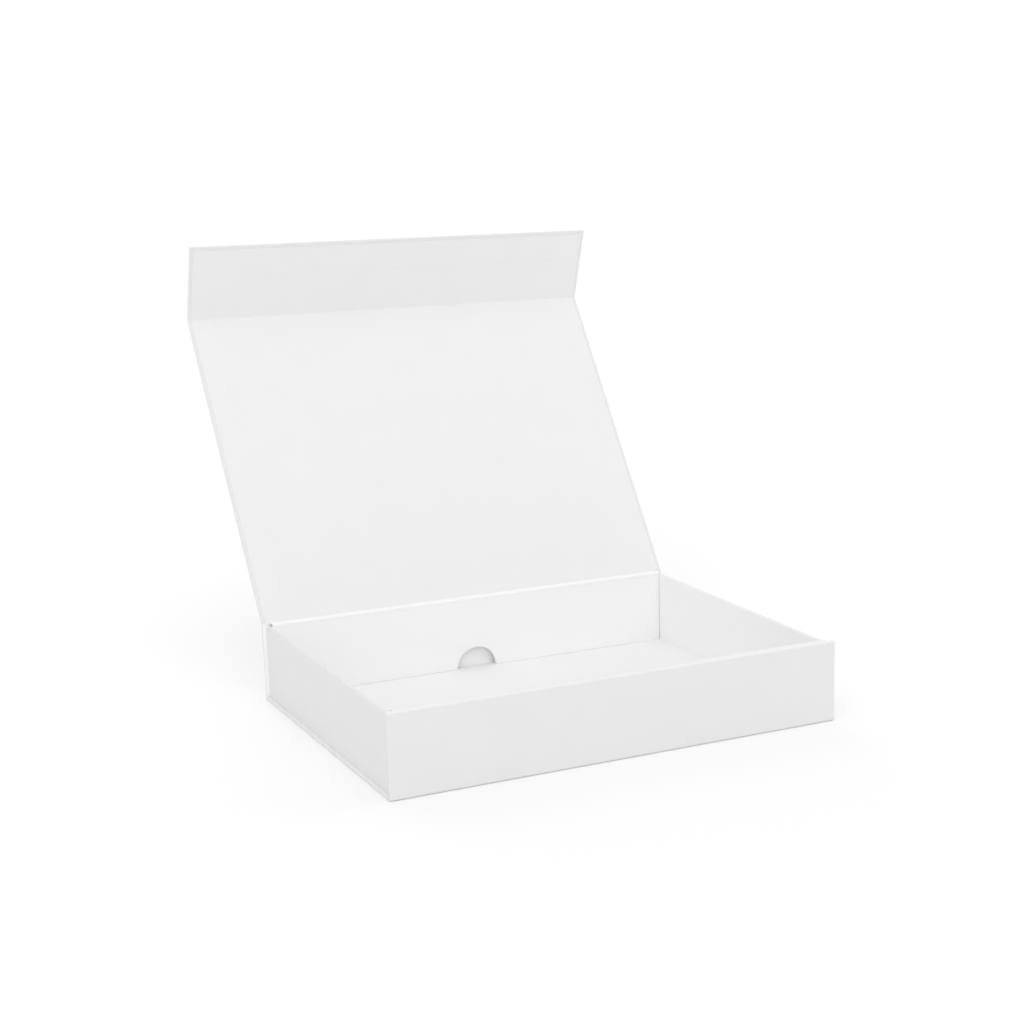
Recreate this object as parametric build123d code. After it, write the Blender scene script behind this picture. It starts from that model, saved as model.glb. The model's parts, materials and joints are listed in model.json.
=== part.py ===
from build123d import *
import math
import os

# A rigid gift box that packs flat: a one-piece outer case (front panel, base,
# spine, lid, front flap) of wrapped grey board, two folded side walls with
# tabs, and an inner flap that locks the rear tabs against the spine.
# Millimetres. X runs along the width, +Y to the back, +Z up. The origin is
# the centre of the base's underside, which the box stands on.

# Sizes of the case
case_width = 310.0
case_depth = 234.0
front_height = 54.5
side_wall_drop = 2.0
spine_drop = 0.5
side_inset = 2.3

# Materials
board = 2.0
paper = 0.2
tape = 0.2
turn_in = 18.0
flap_turn_in = 22.0
lining_margin = 2.5

# Soft edges of wrapped board, measured on the outside of the paper
edge_round = 0.8
end_round = 0.6
front_top_round = 1.8
foot_round = 1.0
corner_round = 2.6

# Clearances and fold gaps
floor_gap = 0.1
flap_floor_gap = 0.5
lid_clearance = 0.4
flap_clearance = 0.3
base_fold_gap = 0.3
paper_end_gap = 0.3
lid_fold_gap = 3.0
flap_fold_gap = 1.6
locking_flap_side_gap = 0.7
locking_flap_slip = 0.3
locking_flap_floor_gap = 0.2
locking_flap_top_drop = 0.6
locking_flap_fold_gap = 0.5
inner_front_side_gap = 0.3

# Tabs, tapes, magnets and the thumb notch
tab_length = 40.0
tab_fold_gap = 0.8
tape_width = 25.0
tape_height = 36.0
magnet_diameter = 15.0
magnet_thickness = 1.8
catch_thickness = 1.6
magnet_spacing = 170.0
magnet_height = 27.0
magnet_fit = 0.2
thumb_notch_radius = 15.0

# How the box stands at rest: lid and front flap as opened by hand
lid_open_angle = 125.25
flap_fold_angle = 54.3

# Case planes
half_width = case_width / 2
half_depth = case_depth / 2
front_outer = -half_depth
front_board_front = front_outer + paper
front_board_back = front_board_front + board
front_turn_in_back = front_board_back + paper
spine_outer = half_depth
spine_board_back = spine_outer - paper
spine_board_front = spine_board_back - board
spine_lining_front = spine_board_front - paper

# Levels
base_board_bottom = paper
base_board_top = base_board_bottom + board
base_turn_in_top = base_board_top + paper
floor_top = base_turn_in_top + paper
side_wall_top = front_height - side_wall_drop
spine_top = front_height - spine_drop

# Side walls
wrapped_board = board + 2 * paper
side_outer = half_width - side_inset
side_inner = side_outer - wrapped_board
side_front = front_turn_in_back
side_back = spine_lining_front - tape
tab_tip = side_outer - tab_length
rear_tab_front = side_back - wrapped_board
front_tab_back = side_front + wrapped_board

# Inner front panel
inner_front_front = front_tab_back + tape
inner_front_back = inner_front_front + board
front_wall_inner = inner_front_back + paper
inner_front_half = side_inner - inner_front_side_gap

# Locking flap, hanging inside the rear tabs
locking_back = rear_tab_front - locking_flap_slip
locking_front = locking_back - wrapped_board
locking_half = side_inner - locking_flap_side_gap
locking_axis_z = spine_top - locking_flap_top_drop
locking_top = locking_axis_z - locking_flap_fold_gap
locking_bottom = floor_top + locking_flap_floor_gap

# Lid, drawn shut and level, then opened about its fold line
lid_under = front_height + lid_clearance + 2 * paper
lid_top = lid_under + board
lid_axis_y = half_depth - paper
lid_axis_z = lid_under
lid_rear = lid_axis_y - lid_fold_gap
lining_level = lid_under - 2 * paper
panel_top = lid_top + paper

# Front flap, drawn flat beyond the lid, then folded about its crease
flap_inner_plane = front_outer - flap_clearance - 2 * paper
flap_axis_y = flap_inner_plane - board / 2
flap_axis_z = lid_under + board / 2
lid_front = flap_axis_y + flap_fold_gap
flap_near = flap_axis_y - flap_fold_gap
flap_drop = flap_axis_z - flap_floor_gap - paper
flap_far = flap_axis_y - flap_drop
magnet_reach = flap_axis_z - magnet_height


def block(x0, x1, y0, y1, z0, z1):
    low = Vector(min(x0, x1), min(y0, y1), min(z0, z1))
    size = (abs(x1 - x0), abs(y1 - y0), abs(z1 - z0))
    return Pos(low) * Box(*size, align=(Align.MIN, Align.MIN, Align.MIN))


def edges_at(shape, along, first, first_at, second, second_at):
    """The edges parallel to one axis at a given place on the other two."""
    near = 0.01
    found = shape.edges().filter_by(along)
    found = found.filter_by_position(first, first_at - near, first_at + near)
    return found.filter_by_position(second, second_at - near, second_at + near)


def round_long_edge(shape, y, z, radius):
    return fillet(edges_at(shape, Axis.X, Axis.Y, y, Axis.Z, z), radius)


def round_upright_edge(shape, x, y, radius):
    return fillet(edges_at(shape, Axis.Z, Axis.X, x, Axis.Y, y), radius)


def turned(point, centre, degrees):
    """A (y, z) point turned about a (y, z) centre, as seen along +X."""
    angle = math.radians(degrees)
    y = point[0] - centre[0]
    z = point[1] - centre[1]
    turned_y = centre[0] + y * math.cos(angle) - z * math.sin(angle)
    turned_z = centre[1] + y * math.sin(angle) + z * math.cos(angle)
    return (turned_y, turned_z)


def about_x(shape, y, z, degrees):
    return Pos(0, y, z) * Rot(degrees, 0, 0) * Pos(0, -y, -z) * shape


def opened(shape):
    return about_x(shape, lid_axis_y, lid_axis_z, -lid_open_angle)


def opened_point(y, z):
    return turned((y, z), (lid_axis_y, lid_axis_z), -lid_open_angle)


def folded(shape):
    return about_x(shape, flap_axis_y, flap_axis_z, flap_fold_angle)


def folded_point(y, z):
    return turned((y, z), (flap_axis_y, flap_axis_z), flap_fold_angle)


def folded_paper(points, half_length):
    """One sheet of paper that follows (y, z) points, as long as the fold.

    Both ends stop a little short of the boards that they are glued to.
    """
    line = [Vector(*point) for point in points]
    first = (line[1] - line[0]).normalized() * paper_end_gap
    last = (line[-2] - line[-1]).normalized() * paper_end_gap
    line[0] += first
    line[-1] += last
    sides = ([], [])
    for index, here in enumerate(line):
        before = line[max(index - 1, 0)]
        after = line[min(index + 1, len(line) - 1)]
        along = [v.normalized() for v in (here - before, after - here) if v.length > 0]
        normals = [Vector(-v.Y, v.X) for v in along]
        mean = (normals[0] + normals[-1]).normalized()
        reach = paper / 2 / mean.dot(normals[0])
        sides[0].append(here + mean * reach)
        sides[1].append(here - mean * reach)
    ring = sides[0] + sides[1][::-1]
    corners = [(-half_length, p.X, p.Y) for p in ring]
    face = Face(Wire.make_polygon(corners, close=True))
    return extrude(face, amount=2 * half_length, dir=(1, 0, 0))


def mirrored(shape):
    return mirror(shape, about=Plane.YZ)


def base_board():
    edge = half_width - paper
    front = front_board_back + base_fold_gap
    back = spine_board_front - base_fold_gap
    return block(-edge, edge, front, back, base_board_bottom, base_board_top)


def base_wrap():
    """Under the base, up both ends and turned in over the board."""
    front = front_turn_in_back
    back = spine_lining_front
    body = block(-half_width, half_width, front, back, 0, base_turn_in_top)
    for side in (-1, 1):
        body = fillet(
            edges_at(body, Axis.Y, Axis.X, side * half_width, Axis.Z, 0),
            end_round / 2,
        )
    board_space = half_width - paper
    hollow = block(
        -board_space, board_space, front, back, base_board_bottom, base_board_top
    )
    window = half_width - turn_in
    opening = block(-window, window, front, back, base_board_top, base_turn_in_top)
    wrap = body - hollow
    return wrap - opening


def base_lining():
    """The floor sheet, which steps up over the turned-in edges."""
    edge = side_inner
    window = half_width - turn_in
    step = window - paper
    front = front_wall_inner
    back = spine_lining_front
    sheet = block(-edge, edge, front, rear_tab_front, base_turn_in_top, floor_top)
    sheet -= block(-step, step, front, rear_tab_front, base_turn_in_top, floor_top)
    middle = block(-window, window, front, back, base_board_top, base_turn_in_top)
    return sheet + middle


def spine_board():
    edge = half_width - paper
    bottom = floor_gap + paper
    return block(-edge, edge, spine_board_front, spine_board_back, bottom, spine_top)


def spine_wrap():
    """Outside of the spine, under its foot and round both ends."""
    body = block(
        -half_width,
        half_width,
        spine_lining_front,
        spine_outer,
        floor_gap,
        spine_top,
    )
    body = round_long_edge(body, spine_outer, floor_gap, foot_round / 2)
    for side in (-1, 1):
        body = round_upright_edge(body, side * half_width, spine_outer, end_round / 2)
    edge = half_width - paper
    bottom = floor_gap + paper
    body -= block(-edge, edge, spine_board_front, spine_board_back, bottom, spine_top)
    window = half_width - turn_in
    return body - block(
        -window, window, spine_lining_front, spine_board_front, floor_gap, spine_top
    )


def spine_lining():
    window = half_width - turn_in
    return block(
        -window,
        window,
        spine_lining_front,
        spine_board_front,
        floor_top,
        spine_top,
    )


def front_board():
    edge = half_width - paper
    bottom = floor_gap + paper
    top = front_height - paper
    body = block(-edge, edge, front_board_front, front_board_back, bottom, top)
    body = round_long_edge(body, front_board_front, top, front_top_round - paper)
    return round_long_edge(body, front_board_front, bottom, foot_round - paper)


def front_wrap():
    """One sheet over the front panel, its ends, its top and the inner panel."""
    outer = block(
        -half_width,
        half_width,
        front_outer,
        front_turn_in_back,
        floor_gap,
        front_height,
    )
    outer = round_long_edge(outer, front_outer, front_height, front_top_round)
    outer = round_long_edge(outer, front_outer, floor_gap, foot_round)
    span = inner_front_half
    over = block(
        -span, span, front_turn_in_back, front_wall_inner, floor_top, front_height
    )
    over = round_long_edge(over, front_wall_inner, front_height, front_top_round)
    body = outer + over
    body -= front_board()
    rear_space = block(
        -span,
        span,
        front_turn_in_back,
        inner_front_back,
        floor_top,
        front_height - paper,
    )
    rear_space = round_long_edge(
        rear_space, inner_front_back, front_height - paper, front_top_round - paper
    )
    body -= rear_space
    window = half_width - turn_in
    return body - block(
        -window,
        window,
        front_board_back,
        front_turn_in_back,
        floor_gap,
        front_height - paper,
    )


def inner_front_board():
    span = inner_front_half
    top = front_height - paper
    body = block(-span, span, inner_front_front, inner_front_back, floor_top, top)
    return round_long_edge(body, inner_front_back, top, front_top_round - paper)


def right_wall_board():
    inner = side_inner + paper
    outer = side_outer - paper
    front = front_tab_back + tab_fold_gap
    back = rear_tab_front - tab_fold_gap
    top = side_wall_top - paper
    body = block(inner, outer, front, back, base_turn_in_top, top)
    for x in (inner, outer):
        rim = edges_at(body, Axis.Y, Axis.X, x, Axis.Z, top)
        body = fillet(rim, edge_round - paper)
    return body


def right_tab(front_face):
    """A tab board that folds from the side wall and lies along the width."""
    outer = side_outer - corner_round
    inner = tab_tip + paper
    near = front_face + paper
    far = near + board
    top = side_wall_top - edge_round
    return block(inner, outer, near, far, base_turn_in_top, top)


def right_wall_wrap():
    """The paper over the side wall and both tabs, with soft folded corners."""
    top = side_wall_top
    body = block(tab_tip, side_outer, side_front, side_back, base_turn_in_top, top)
    body = round_upright_edge(body, side_outer, side_front, corner_round)
    body = round_upright_edge(body, side_outer, side_back, corner_round)
    body -= block(
        tab_tip, side_inner, front_tab_back, rear_tab_front, base_turn_in_top, top
    )
    outside = body.faces().sort_by(Axis.Z)[-1].outer_wire().edges()
    body = fillet(outside, edge_round - paper)
    return body - right_wall_board() - right_tab(side_front) - right_tab(rear_tab_front)


def right_tab_tape(y):
    """A strip of double-sided tape between a tab and the panel it holds."""
    middle_x = tab_tip + tab_length / 2
    middle_z = (base_turn_in_top + side_wall_top) / 2
    half = tape_width / 2
    rise = tape_height / 2
    return block(
        middle_x - half,
        middle_x + half,
        y,
        y + tape,
        middle_z - rise,
        middle_z + rise,
    )


def disc(x, y, z, thickness, diameter):
    """A round disc with its axis along Y and its front face at y."""
    body = Cylinder(
        diameter / 2, thickness, align=(Align.CENTER, Align.CENTER, Align.MIN)
    )
    return Pos(x, y, z) * Rot(-90, 0, 0) * body


def catch_discs():
    discs = []
    for side in (-1, 1):
        x = side * magnet_spacing / 2
        discs.append(
            disc(x, front_board_back, magnet_height, catch_thickness, magnet_diameter)
        )
    return discs


def locking_board():
    edge = locking_half - paper
    near = locking_front + paper
    far = locking_back - paper
    body = block(-edge, edge, near, far, locking_bottom + paper, locking_top)
    return body - thumb_notch(thumb_notch_radius + paper)


def thumb_notch(radius):
    """The half-round finger cut at the middle of the locking flap's foot."""
    depth = wrapped_board * 3
    middle = (locking_front + locking_back) / 2
    cut = Cylinder(radius, depth)
    return Pos(0, middle, locking_bottom) * Rot(90, 0, 0) * cut


def locking_wrap():
    """Rear face, foot and ends of the locking flap, round the thumb notch."""
    body = block(
        -locking_half,
        locking_half,
        locking_front + paper,
        locking_back,
        locking_bottom,
        locking_top,
    )
    body -= thumb_notch(thumb_notch_radius)
    return body - locking_board()


def locking_lining():
    body = block(
        -locking_half,
        locking_half,
        locking_front,
        locking_front + paper,
        locking_bottom,
        locking_top,
    )
    return body - thumb_notch(thumb_notch_radius)


def locking_fold_paper():
    """The lining where it folds from the locking flap over to the spine."""
    mid = paper / 2
    seat = spine_top + mid
    points = [
        (locking_front + mid, locking_top),
        (locking_front + mid, locking_axis_z),
        (locking_front + edge_round, seat),
        (spine_board_front, seat),
    ]
    return folded_paper(points, locking_half)


def panel_board(front, back):
    edge = half_width - paper
    return block(-edge, edge, front, back, lid_under, lid_top)


def panel_wrap(front, back, window_front, window_back):
    """Outer sheet of a level panel, turned in round its edges.

    The window is where the board stays bare for the lining.
    """
    outer_front = front - (paper if window_front > front else 0)
    level = lid_under - paper
    body = block(-half_width, half_width, outer_front, back, level, panel_top)
    for side in (-1, 1):
        rim = edges_at(body, Axis.Y, Axis.X, side * half_width, Axis.Z, panel_top)
        body = fillet(rim, end_round / 2)
    body -= panel_board(front, back)
    window = half_width - turn_in
    return body - block(-window, window, window_front, window_back, level, lid_under)


def panel_lining(front, back, window_front, window_back):
    """Inner sheet of a level panel, stepped over the turned-in edges."""
    edge = half_width - lining_margin
    margin_front = front + (lining_margin if window_front > front else 0)
    window = half_width - turn_in
    step = window - paper
    inner_front = window_front + (paper if window_front > front else 0)
    top = lid_under - paper
    sheet = block(-edge, edge, margin_front, back, lining_level, top)
    sheet -= block(-step, step, inner_front, back, lining_level, top)
    middle = block(-window, window, window_front, window_back, top, lid_under)
    return sheet + middle


def lid_wrap():
    return panel_wrap(lid_front, lid_rear, lid_front, lid_rear)


def lid_lining():
    return panel_lining(lid_front, lid_rear, lid_front, lid_rear)


def lid_fold_papers():
    """Outer and inner paper of the fold between the spine and the lid."""
    mid = paper / 2
    outer = folded_paper(
        [
            (spine_outer - mid, spine_top),
            opened_point(lid_rear, lid_top + mid),
        ],
        half_width,
    )
    inner = folded_paper(
        [
            (spine_board_front + mid, spine_top + mid),
            (spine_board_front + board / 2, spine_top + mid),
            opened_point(lid_rear, lid_under - mid),
        ],
        half_width - lining_margin,
    )
    return [outer, inner]


def flap_magnet_hole(side, fit):
    diameter = magnet_diameter + 2 * fit
    thickness = board if fit else magnet_thickness
    body = Cylinder(
        diameter / 2, thickness, align=(Align.CENTER, Align.CENTER, Align.MIN)
    )
    return Pos(side * magnet_spacing / 2, flap_axis_y - magnet_reach, lid_under) * body


def flap_board():
    body = panel_board(flap_far, flap_near)
    for side in (-1, 1):
        body -= flap_magnet_hole(side, magnet_fit)
    return body


def flap_magnets():
    return [flap_magnet_hole(side, 0) for side in (-1, 1)]


def flap_wrap():
    return panel_wrap(flap_far, flap_near, flap_far + flap_turn_in, flap_near)


def flap_lining():
    return panel_lining(flap_far, flap_near, flap_far + flap_turn_in, flap_near)


def flap_fold_papers():
    """Outer and inner paper of the crease between the lid and its flap."""
    mid = paper / 2
    outer = folded_paper(
        [(lid_front, lid_top + mid), folded_point(flap_near, lid_top + mid)],
        half_width,
    )
    inner = folded_paper(
        [(lid_front, lid_under - mid), folded_point(flap_near, lid_under - mid)],
        half_width - lining_margin,
    )
    return [outer, inner]


def write(name, shapes):
    pieces = shapes if isinstance(shapes, list) else [shapes]
    solids = [solid for piece in pieces for solid in piece.solids()]
    whole = solids[0] if len(solids) == 1 else Compound(children=solids)
    export_step(whole, os.path.join("parts", name + ".step"))


def write_pair(name, right):
    write("right_" + name, right)
    write("left_" + name, mirrored(right))


def both_sides(right):
    return [right, mirrored(right)]


os.makedirs("parts", exist_ok=True)

write("base_board", base_board())
write("base_wrap", base_wrap())
write("base_lining", base_lining())
write("spine_board", spine_board())
write("spine_wrap", spine_wrap())
write("spine_lining", spine_lining())
write("front_board", front_board())
write("front_wrap", front_wrap())
write("inner_front_board", inner_front_board())
write("catch_discs", catch_discs())

write_pair("wall_board", right_wall_board())
write_pair("wall_wrap", right_wall_wrap())
write_pair("front_tab", right_tab(side_front))
write_pair("rear_tab", right_tab(rear_tab_front))
write("front_tab_tapes", both_sides(right_tab_tape(front_tab_back)))
write("rear_tab_tapes", both_sides(right_tab_tape(side_back)))

write("locking_flap_board", locking_board())
write("locking_flap_wrap", locking_wrap())
write("locking_flap_lining", locking_lining())
write("locking_flap_fold_paper", locking_fold_paper())

write("lid_board", opened(panel_board(lid_front, lid_rear)))
write("lid_wrap", opened(lid_wrap()))
write("lid_lining", opened(lid_lining()))
write("lid_fold_papers", lid_fold_papers())

write("flap_board", opened(folded(flap_board())))
write("flap_wrap", opened(folded(flap_wrap())))
write("flap_lining", opened(folded(flap_lining())))
write("flap_magnets", [opened(folded(magnet)) for magnet in flap_magnets()])
write("flap_fold_papers", [opened(sheet) for sheet in flap_fold_papers()])
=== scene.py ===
import json
import math

import bmesh
import bpy
from mathutils import Matrix, Vector, noise

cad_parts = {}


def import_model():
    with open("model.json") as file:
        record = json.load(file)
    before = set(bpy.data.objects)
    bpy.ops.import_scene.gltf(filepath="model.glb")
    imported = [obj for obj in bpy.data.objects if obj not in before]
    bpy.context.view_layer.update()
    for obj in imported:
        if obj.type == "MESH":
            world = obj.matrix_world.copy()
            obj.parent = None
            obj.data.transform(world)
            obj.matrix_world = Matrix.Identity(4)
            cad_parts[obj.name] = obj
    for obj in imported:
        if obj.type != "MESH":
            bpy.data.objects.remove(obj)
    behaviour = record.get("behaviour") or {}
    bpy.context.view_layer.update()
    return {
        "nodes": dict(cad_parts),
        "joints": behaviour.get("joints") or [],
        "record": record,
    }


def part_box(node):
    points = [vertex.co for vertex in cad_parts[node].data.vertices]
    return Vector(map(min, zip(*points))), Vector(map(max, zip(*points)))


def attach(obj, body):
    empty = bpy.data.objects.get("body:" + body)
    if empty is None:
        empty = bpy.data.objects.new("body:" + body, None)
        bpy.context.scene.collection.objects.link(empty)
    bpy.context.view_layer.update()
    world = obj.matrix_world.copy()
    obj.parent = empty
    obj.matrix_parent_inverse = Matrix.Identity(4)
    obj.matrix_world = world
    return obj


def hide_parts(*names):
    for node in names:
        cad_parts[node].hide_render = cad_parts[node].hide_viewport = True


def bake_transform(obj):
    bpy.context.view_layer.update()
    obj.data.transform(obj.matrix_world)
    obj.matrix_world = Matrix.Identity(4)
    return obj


# The looks of a white gift box of paper-wrapped board. Metres, in the frame's
# own axes: X along the width, +Y to the back, +Z up. Paper skins take the place
# of the frame's paper solids. Panels that stand tilted are first built lying
# flat, at their joints' lower limits, and then turned to where they rest.

MM = 0.001

# Paper and board, as seen from outside
PAPER = 0.2 * MM
PANEL_ROUND = 0.6 * MM
BASE_ROUND = 0.65 * MM
SPINE_ROUND = 0.45 * MM
SPINE_COVER = 0.15 * MM
WALL_ROUND = 0.8 * MM
CORNER_ROUND = 2.6 * MM
REAR_CORNER_ROUND = 0.4 * MM
INNER_CORNER_ROUND = 0.4 * MM
FRONT_TOP_ROUND = 1.8 * MM
FRONT_END_ROUND = 0.6 * MM
FRONT_FOOT_ROUND = 1.4 * MM
FLAP_ROUND = 0.18 * MM
FLAP_REACH = 0.3 * MM
FLAP_DROP = 0.1 * MM
INNER_PANEL_REACH = 0.25 * MM
INNER_PANEL_STEP = 0.02 * MM
THIN_TOP_ROUND = 0.55 * MM
THIN_STEP = 0.01 * MM
SHEET_ROUND = 0.06 * MM
NOTCH_RADIUS = 15.0 * MM
NOTCH_STEPS = 28

# A tilted panel's board with its wrap on both faces
PANEL_DEPTH = 2.4 * MM

# Turned-in edges under the linings, and the soft step over them
TURN_IN = 18.0 * MM
FLAP_TURN_IN = 22.0 * MM
STEP_WIDTH = 1.6 * MM

# A depth for a side with no turned-in edge, so far out that it never counts
NO_TURN_IN = -1.0

# How fold papers lie on the boards they join: a little proud, ends sunk in
LAP = 1.6 * MM
PROUD = 0.03 * MM
SUNK = 0.15 * MM
LEDGE_LAP = 0.6 * MM
LINING_MARGIN = 0.08 * MM
FOLD_SET_BACK = 1.2 * MM
LID_CREASE_GAP = 0.2 * MM
FLAP_CREASE_GAP = 0.1 * MM
LOCKING_BEND = 1.4 * MM
LOCKING_CELL = 1.5 * MM

# How strongly a fold's curve is drawn to one side, as a share of the way
LID_PULL = 0.75
FLAP_PULL = 0.5
INNER_PULL = 0.35

# Mesh spacing and the faint waviness of glued paper
CELL = 7.0 * MM
EDGE_CELL = 0.35 * MM
MERGE = 0.001 * MM
SHARP_ANGLE = math.radians(48)
TINY = 1e-9
WAVE_SIZE = 46.0 * MM
WAVE_HEIGHT = 0.10 * MM
WAVE_SHIFT = (3.7, 1.9, 5.3)
FINE_WAVE_SCALE = 2.3
FINE_WAVE_SHARE = 0.4
CALM_EDGE = 9.0 * MM
CALM_TOP = 6 * MM

# A grid line this share of the rounding in from a face lands a quarter of the way
# round the edge
ROUND_MARK = 1 - math.tan(math.radians(22.5))

# How squarely a face has to look inwards or up to be given a lighter paper, which paints the
# light that falls there
INWARD = 0.7
UPWARD = 0.5

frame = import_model()
joints = {joint["name"]: joint for joint in frame["joints"]}


def turn_from_limit(name):
    """What carries a joint's child from the joint's lower limit to rest."""
    joint = joints[name]
    place = Matrix.Translation(joint["pos_m"])
    angle = math.radians(-joint["range_deg"][0])
    turn = Matrix.Rotation(angle, 4, Vector(joint["axis"]))
    return place @ turn @ place.inverted()


OPENED = turn_from_limit("lid_hinge")
FOLDED = turn_from_limit("front_flap_hinge") @ OPENED
UPRIGHT = Matrix.Identity(4)


def flat_box(node, turn=UPRIGHT):
    """A node's lowest and highest corners, as they are before the turn."""
    back = turn.inverted()
    points = [back @ vertex.co for vertex in frame["nodes"][node].data.vertices]
    low = Vector([min(point[axis] for point in points) for axis in range(3)])
    high = Vector([max(point[axis] for point in points) for axis in range(3)])
    return low, high


def smooth_step(value):
    value = min(max(value, 0.0), 1.0)
    return value * value * (3 - 2 * value)


def wave(point, seed):
    """A faint, slow unevenness over a glued sheet."""
    place = point / WAVE_SIZE + Vector([seed * shift for shift in WAVE_SHIFT])
    slow = noise.noise(place)
    fine = noise.noise(place * FINE_WAVE_SCALE)
    return WAVE_HEIGHT * (slow + FINE_WAVE_SHARE * fine)


def edge_distance(point, low, high):
    """How far a point of a lying panel is from the panel's nearest side."""
    return min(point.x - low.x, high.x - point.x, point.y - low.y, high.y - point.y)


# Mesh building


def spread(low, high, rounding=0.0, marks=(), cell=CELL):
    """Places along one side of a grid: close at rounded ends and at marks."""
    places = {low, high}
    if rounding:
        for share in (ROUND_MARK, 1.0):
            places |= {low + rounding * share, high - rounding * share}
        places |= {low + rounding + EDGE_CELL, high - rounding - EDGE_CELL}
    for mark in marks:
        if low < mark < high:
            places.add(mark)
    fixed = sorted(places)
    filled = [fixed[0]]
    for before, after in zip(fixed, fixed[1:]):
        if after - before < EDGE_CELL / 20:
            continue
        count = max(1, math.ceil((after - before) / cell))
        filled += [before + (after - before) * i / count for i in range(1, count + 1)]
    return filled


def step_marks(middle):
    """Grid places that let a soft step about a line be smooth."""
    return [middle + STEP_WIDTH * share for share in (-0.5, -0.25, 0, 0.25, 0.5)]


def make_mesh(name, points, faces, turn=UPRIGHT):
    """A piece with its faces outwards, smooth but for its sharp edges."""
    mesh = bpy.data.meshes.new(name)
    mesh.from_pydata([turn @ Vector(point) for point in points], [], faces)
    shape = bmesh.new()
    shape.from_mesh(mesh)
    bmesh.ops.remove_doubles(shape, verts=shape.verts, dist=MERGE)
    bmesh.ops.recalc_face_normals(shape, faces=shape.faces)
    shape.to_mesh(mesh)
    shape.free()
    mesh.shade_smooth()
    mesh.set_sharp_from_angle(angle=SHARP_ANGLE)
    piece = bpy.data.objects.new(name, mesh)
    bpy.context.scene.collection.objects.link(piece)
    return piece


def box_surface(xs, ys, zs):
    """Points and quads over the six sides of a gridded box."""
    index = {}

    def at(i, j, k):
        return index.setdefault((i, j, k), len(index))

    far_x, far_y, far_z = len(xs) - 1, len(ys) - 1, len(zs) - 1
    faces = []
    for i in range(far_x):
        for j in range(far_y):
            for k, ahead in ((0, False), (far_z, True)):
                quad = [at(i, j, k), at(i + 1, j, k), at(i + 1, j + 1, k), at(i, j + 1, k)]
                faces.append(quad if ahead else quad[::-1])
    for j in range(far_y):
        for k in range(far_z):
            for i, ahead in ((0, False), (far_x, True)):
                quad = [at(i, j, k), at(i, j + 1, k), at(i, j + 1, k + 1), at(i, j, k + 1)]
                faces.append(quad if ahead else quad[::-1])
    for i in range(far_x):
        for k in range(far_z):
            for j, ahead in ((0, True), (far_y, False)):
                quad = [at(i, j, k), at(i + 1, j, k), at(i + 1, j, k + 1), at(i, j, k + 1)]
                faces.append(quad if ahead else quad[::-1])
    points = [Vector((xs[i], ys[j], zs[k])) for i, j, k in index]
    return points, faces


def softened(point, low, high, rounding):
    """A point of a box's surface, moved onto the box with rounded edges."""
    core = Vector(
        [
            min(max(point[axis], low[axis] + rounding), high[axis] - rounding)
            for axis in range(3)
        ]
    )
    reach = point - core
    if reach.length < TINY:
        return point
    return core + reach.normalized() * rounding


def slab(name, low, high, rounding, turn=UPRIGHT, marks_x=(), marks_y=(), lift=None):
    """A flat panel with soft edges. Lift moves each point up by what it returns."""
    middle = (low.z + high.z) / 2
    xs = spread(low.x, high.x, rounding, marks_x)
    ys = spread(low.y, high.y, rounding, marks_y)
    soft = rounding * ROUND_MARK
    zs = [low.z, low.z + soft, low.z + rounding, middle]
    zs += [high.z - rounding, high.z - soft, high.z]
    if rounding * 2 > (high.z - low.z) * 0.9:
        zs = [low.z, middle, high.z]
    points, faces = box_surface(xs, ys, zs)
    points = [softened(point, low, high, rounding) for point in points]
    if lift:
        points = [point + Vector((0, 0, lift(point))) for point in points]
    return make_mesh(name, points, faces, turn)


def loft(name, rings):
    """A closed skin through rings of equally many points, with both ends shut."""
    count = len(rings[0])
    points = [point for ring in rings for point in ring]
    faces = []
    for number in range(len(rings) - 1):
        start = number * count
        for i in range(count):
            after = (i + 1) % count
            faces.append(
                [start + i, start + count + i, start + count + after, start + after]
            )
    last = (len(rings) - 1) * count
    faces.append(list(range(count)))
    faces.append([last + i for i in range(count)][::-1])
    return make_mesh(name, points, faces)


def arc(centre, radius, start, end, steps=4):
    """Points of an arc in a plane, from one angle to another in degrees."""
    found = []
    for i in range(steps + 1):
        angle = math.radians(start + (end - start) * i / steps)
        found.append(
            (centre[0] + radius * math.cos(angle), centre[1] + radius * math.sin(angle))
        )
    return found


def between(start, end, cell=CELL):
    """Points along a straight line, without its two ends."""
    length = math.dist(start, end)
    count = max(1, math.ceil(length / cell))
    return [
        tuple(a + (b - a) * i / count for a, b in zip(start, end)) for i in range(1, count)
    ]


# Materials


def link(tree, source, target):
    tree.links.new(source, target)


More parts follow.
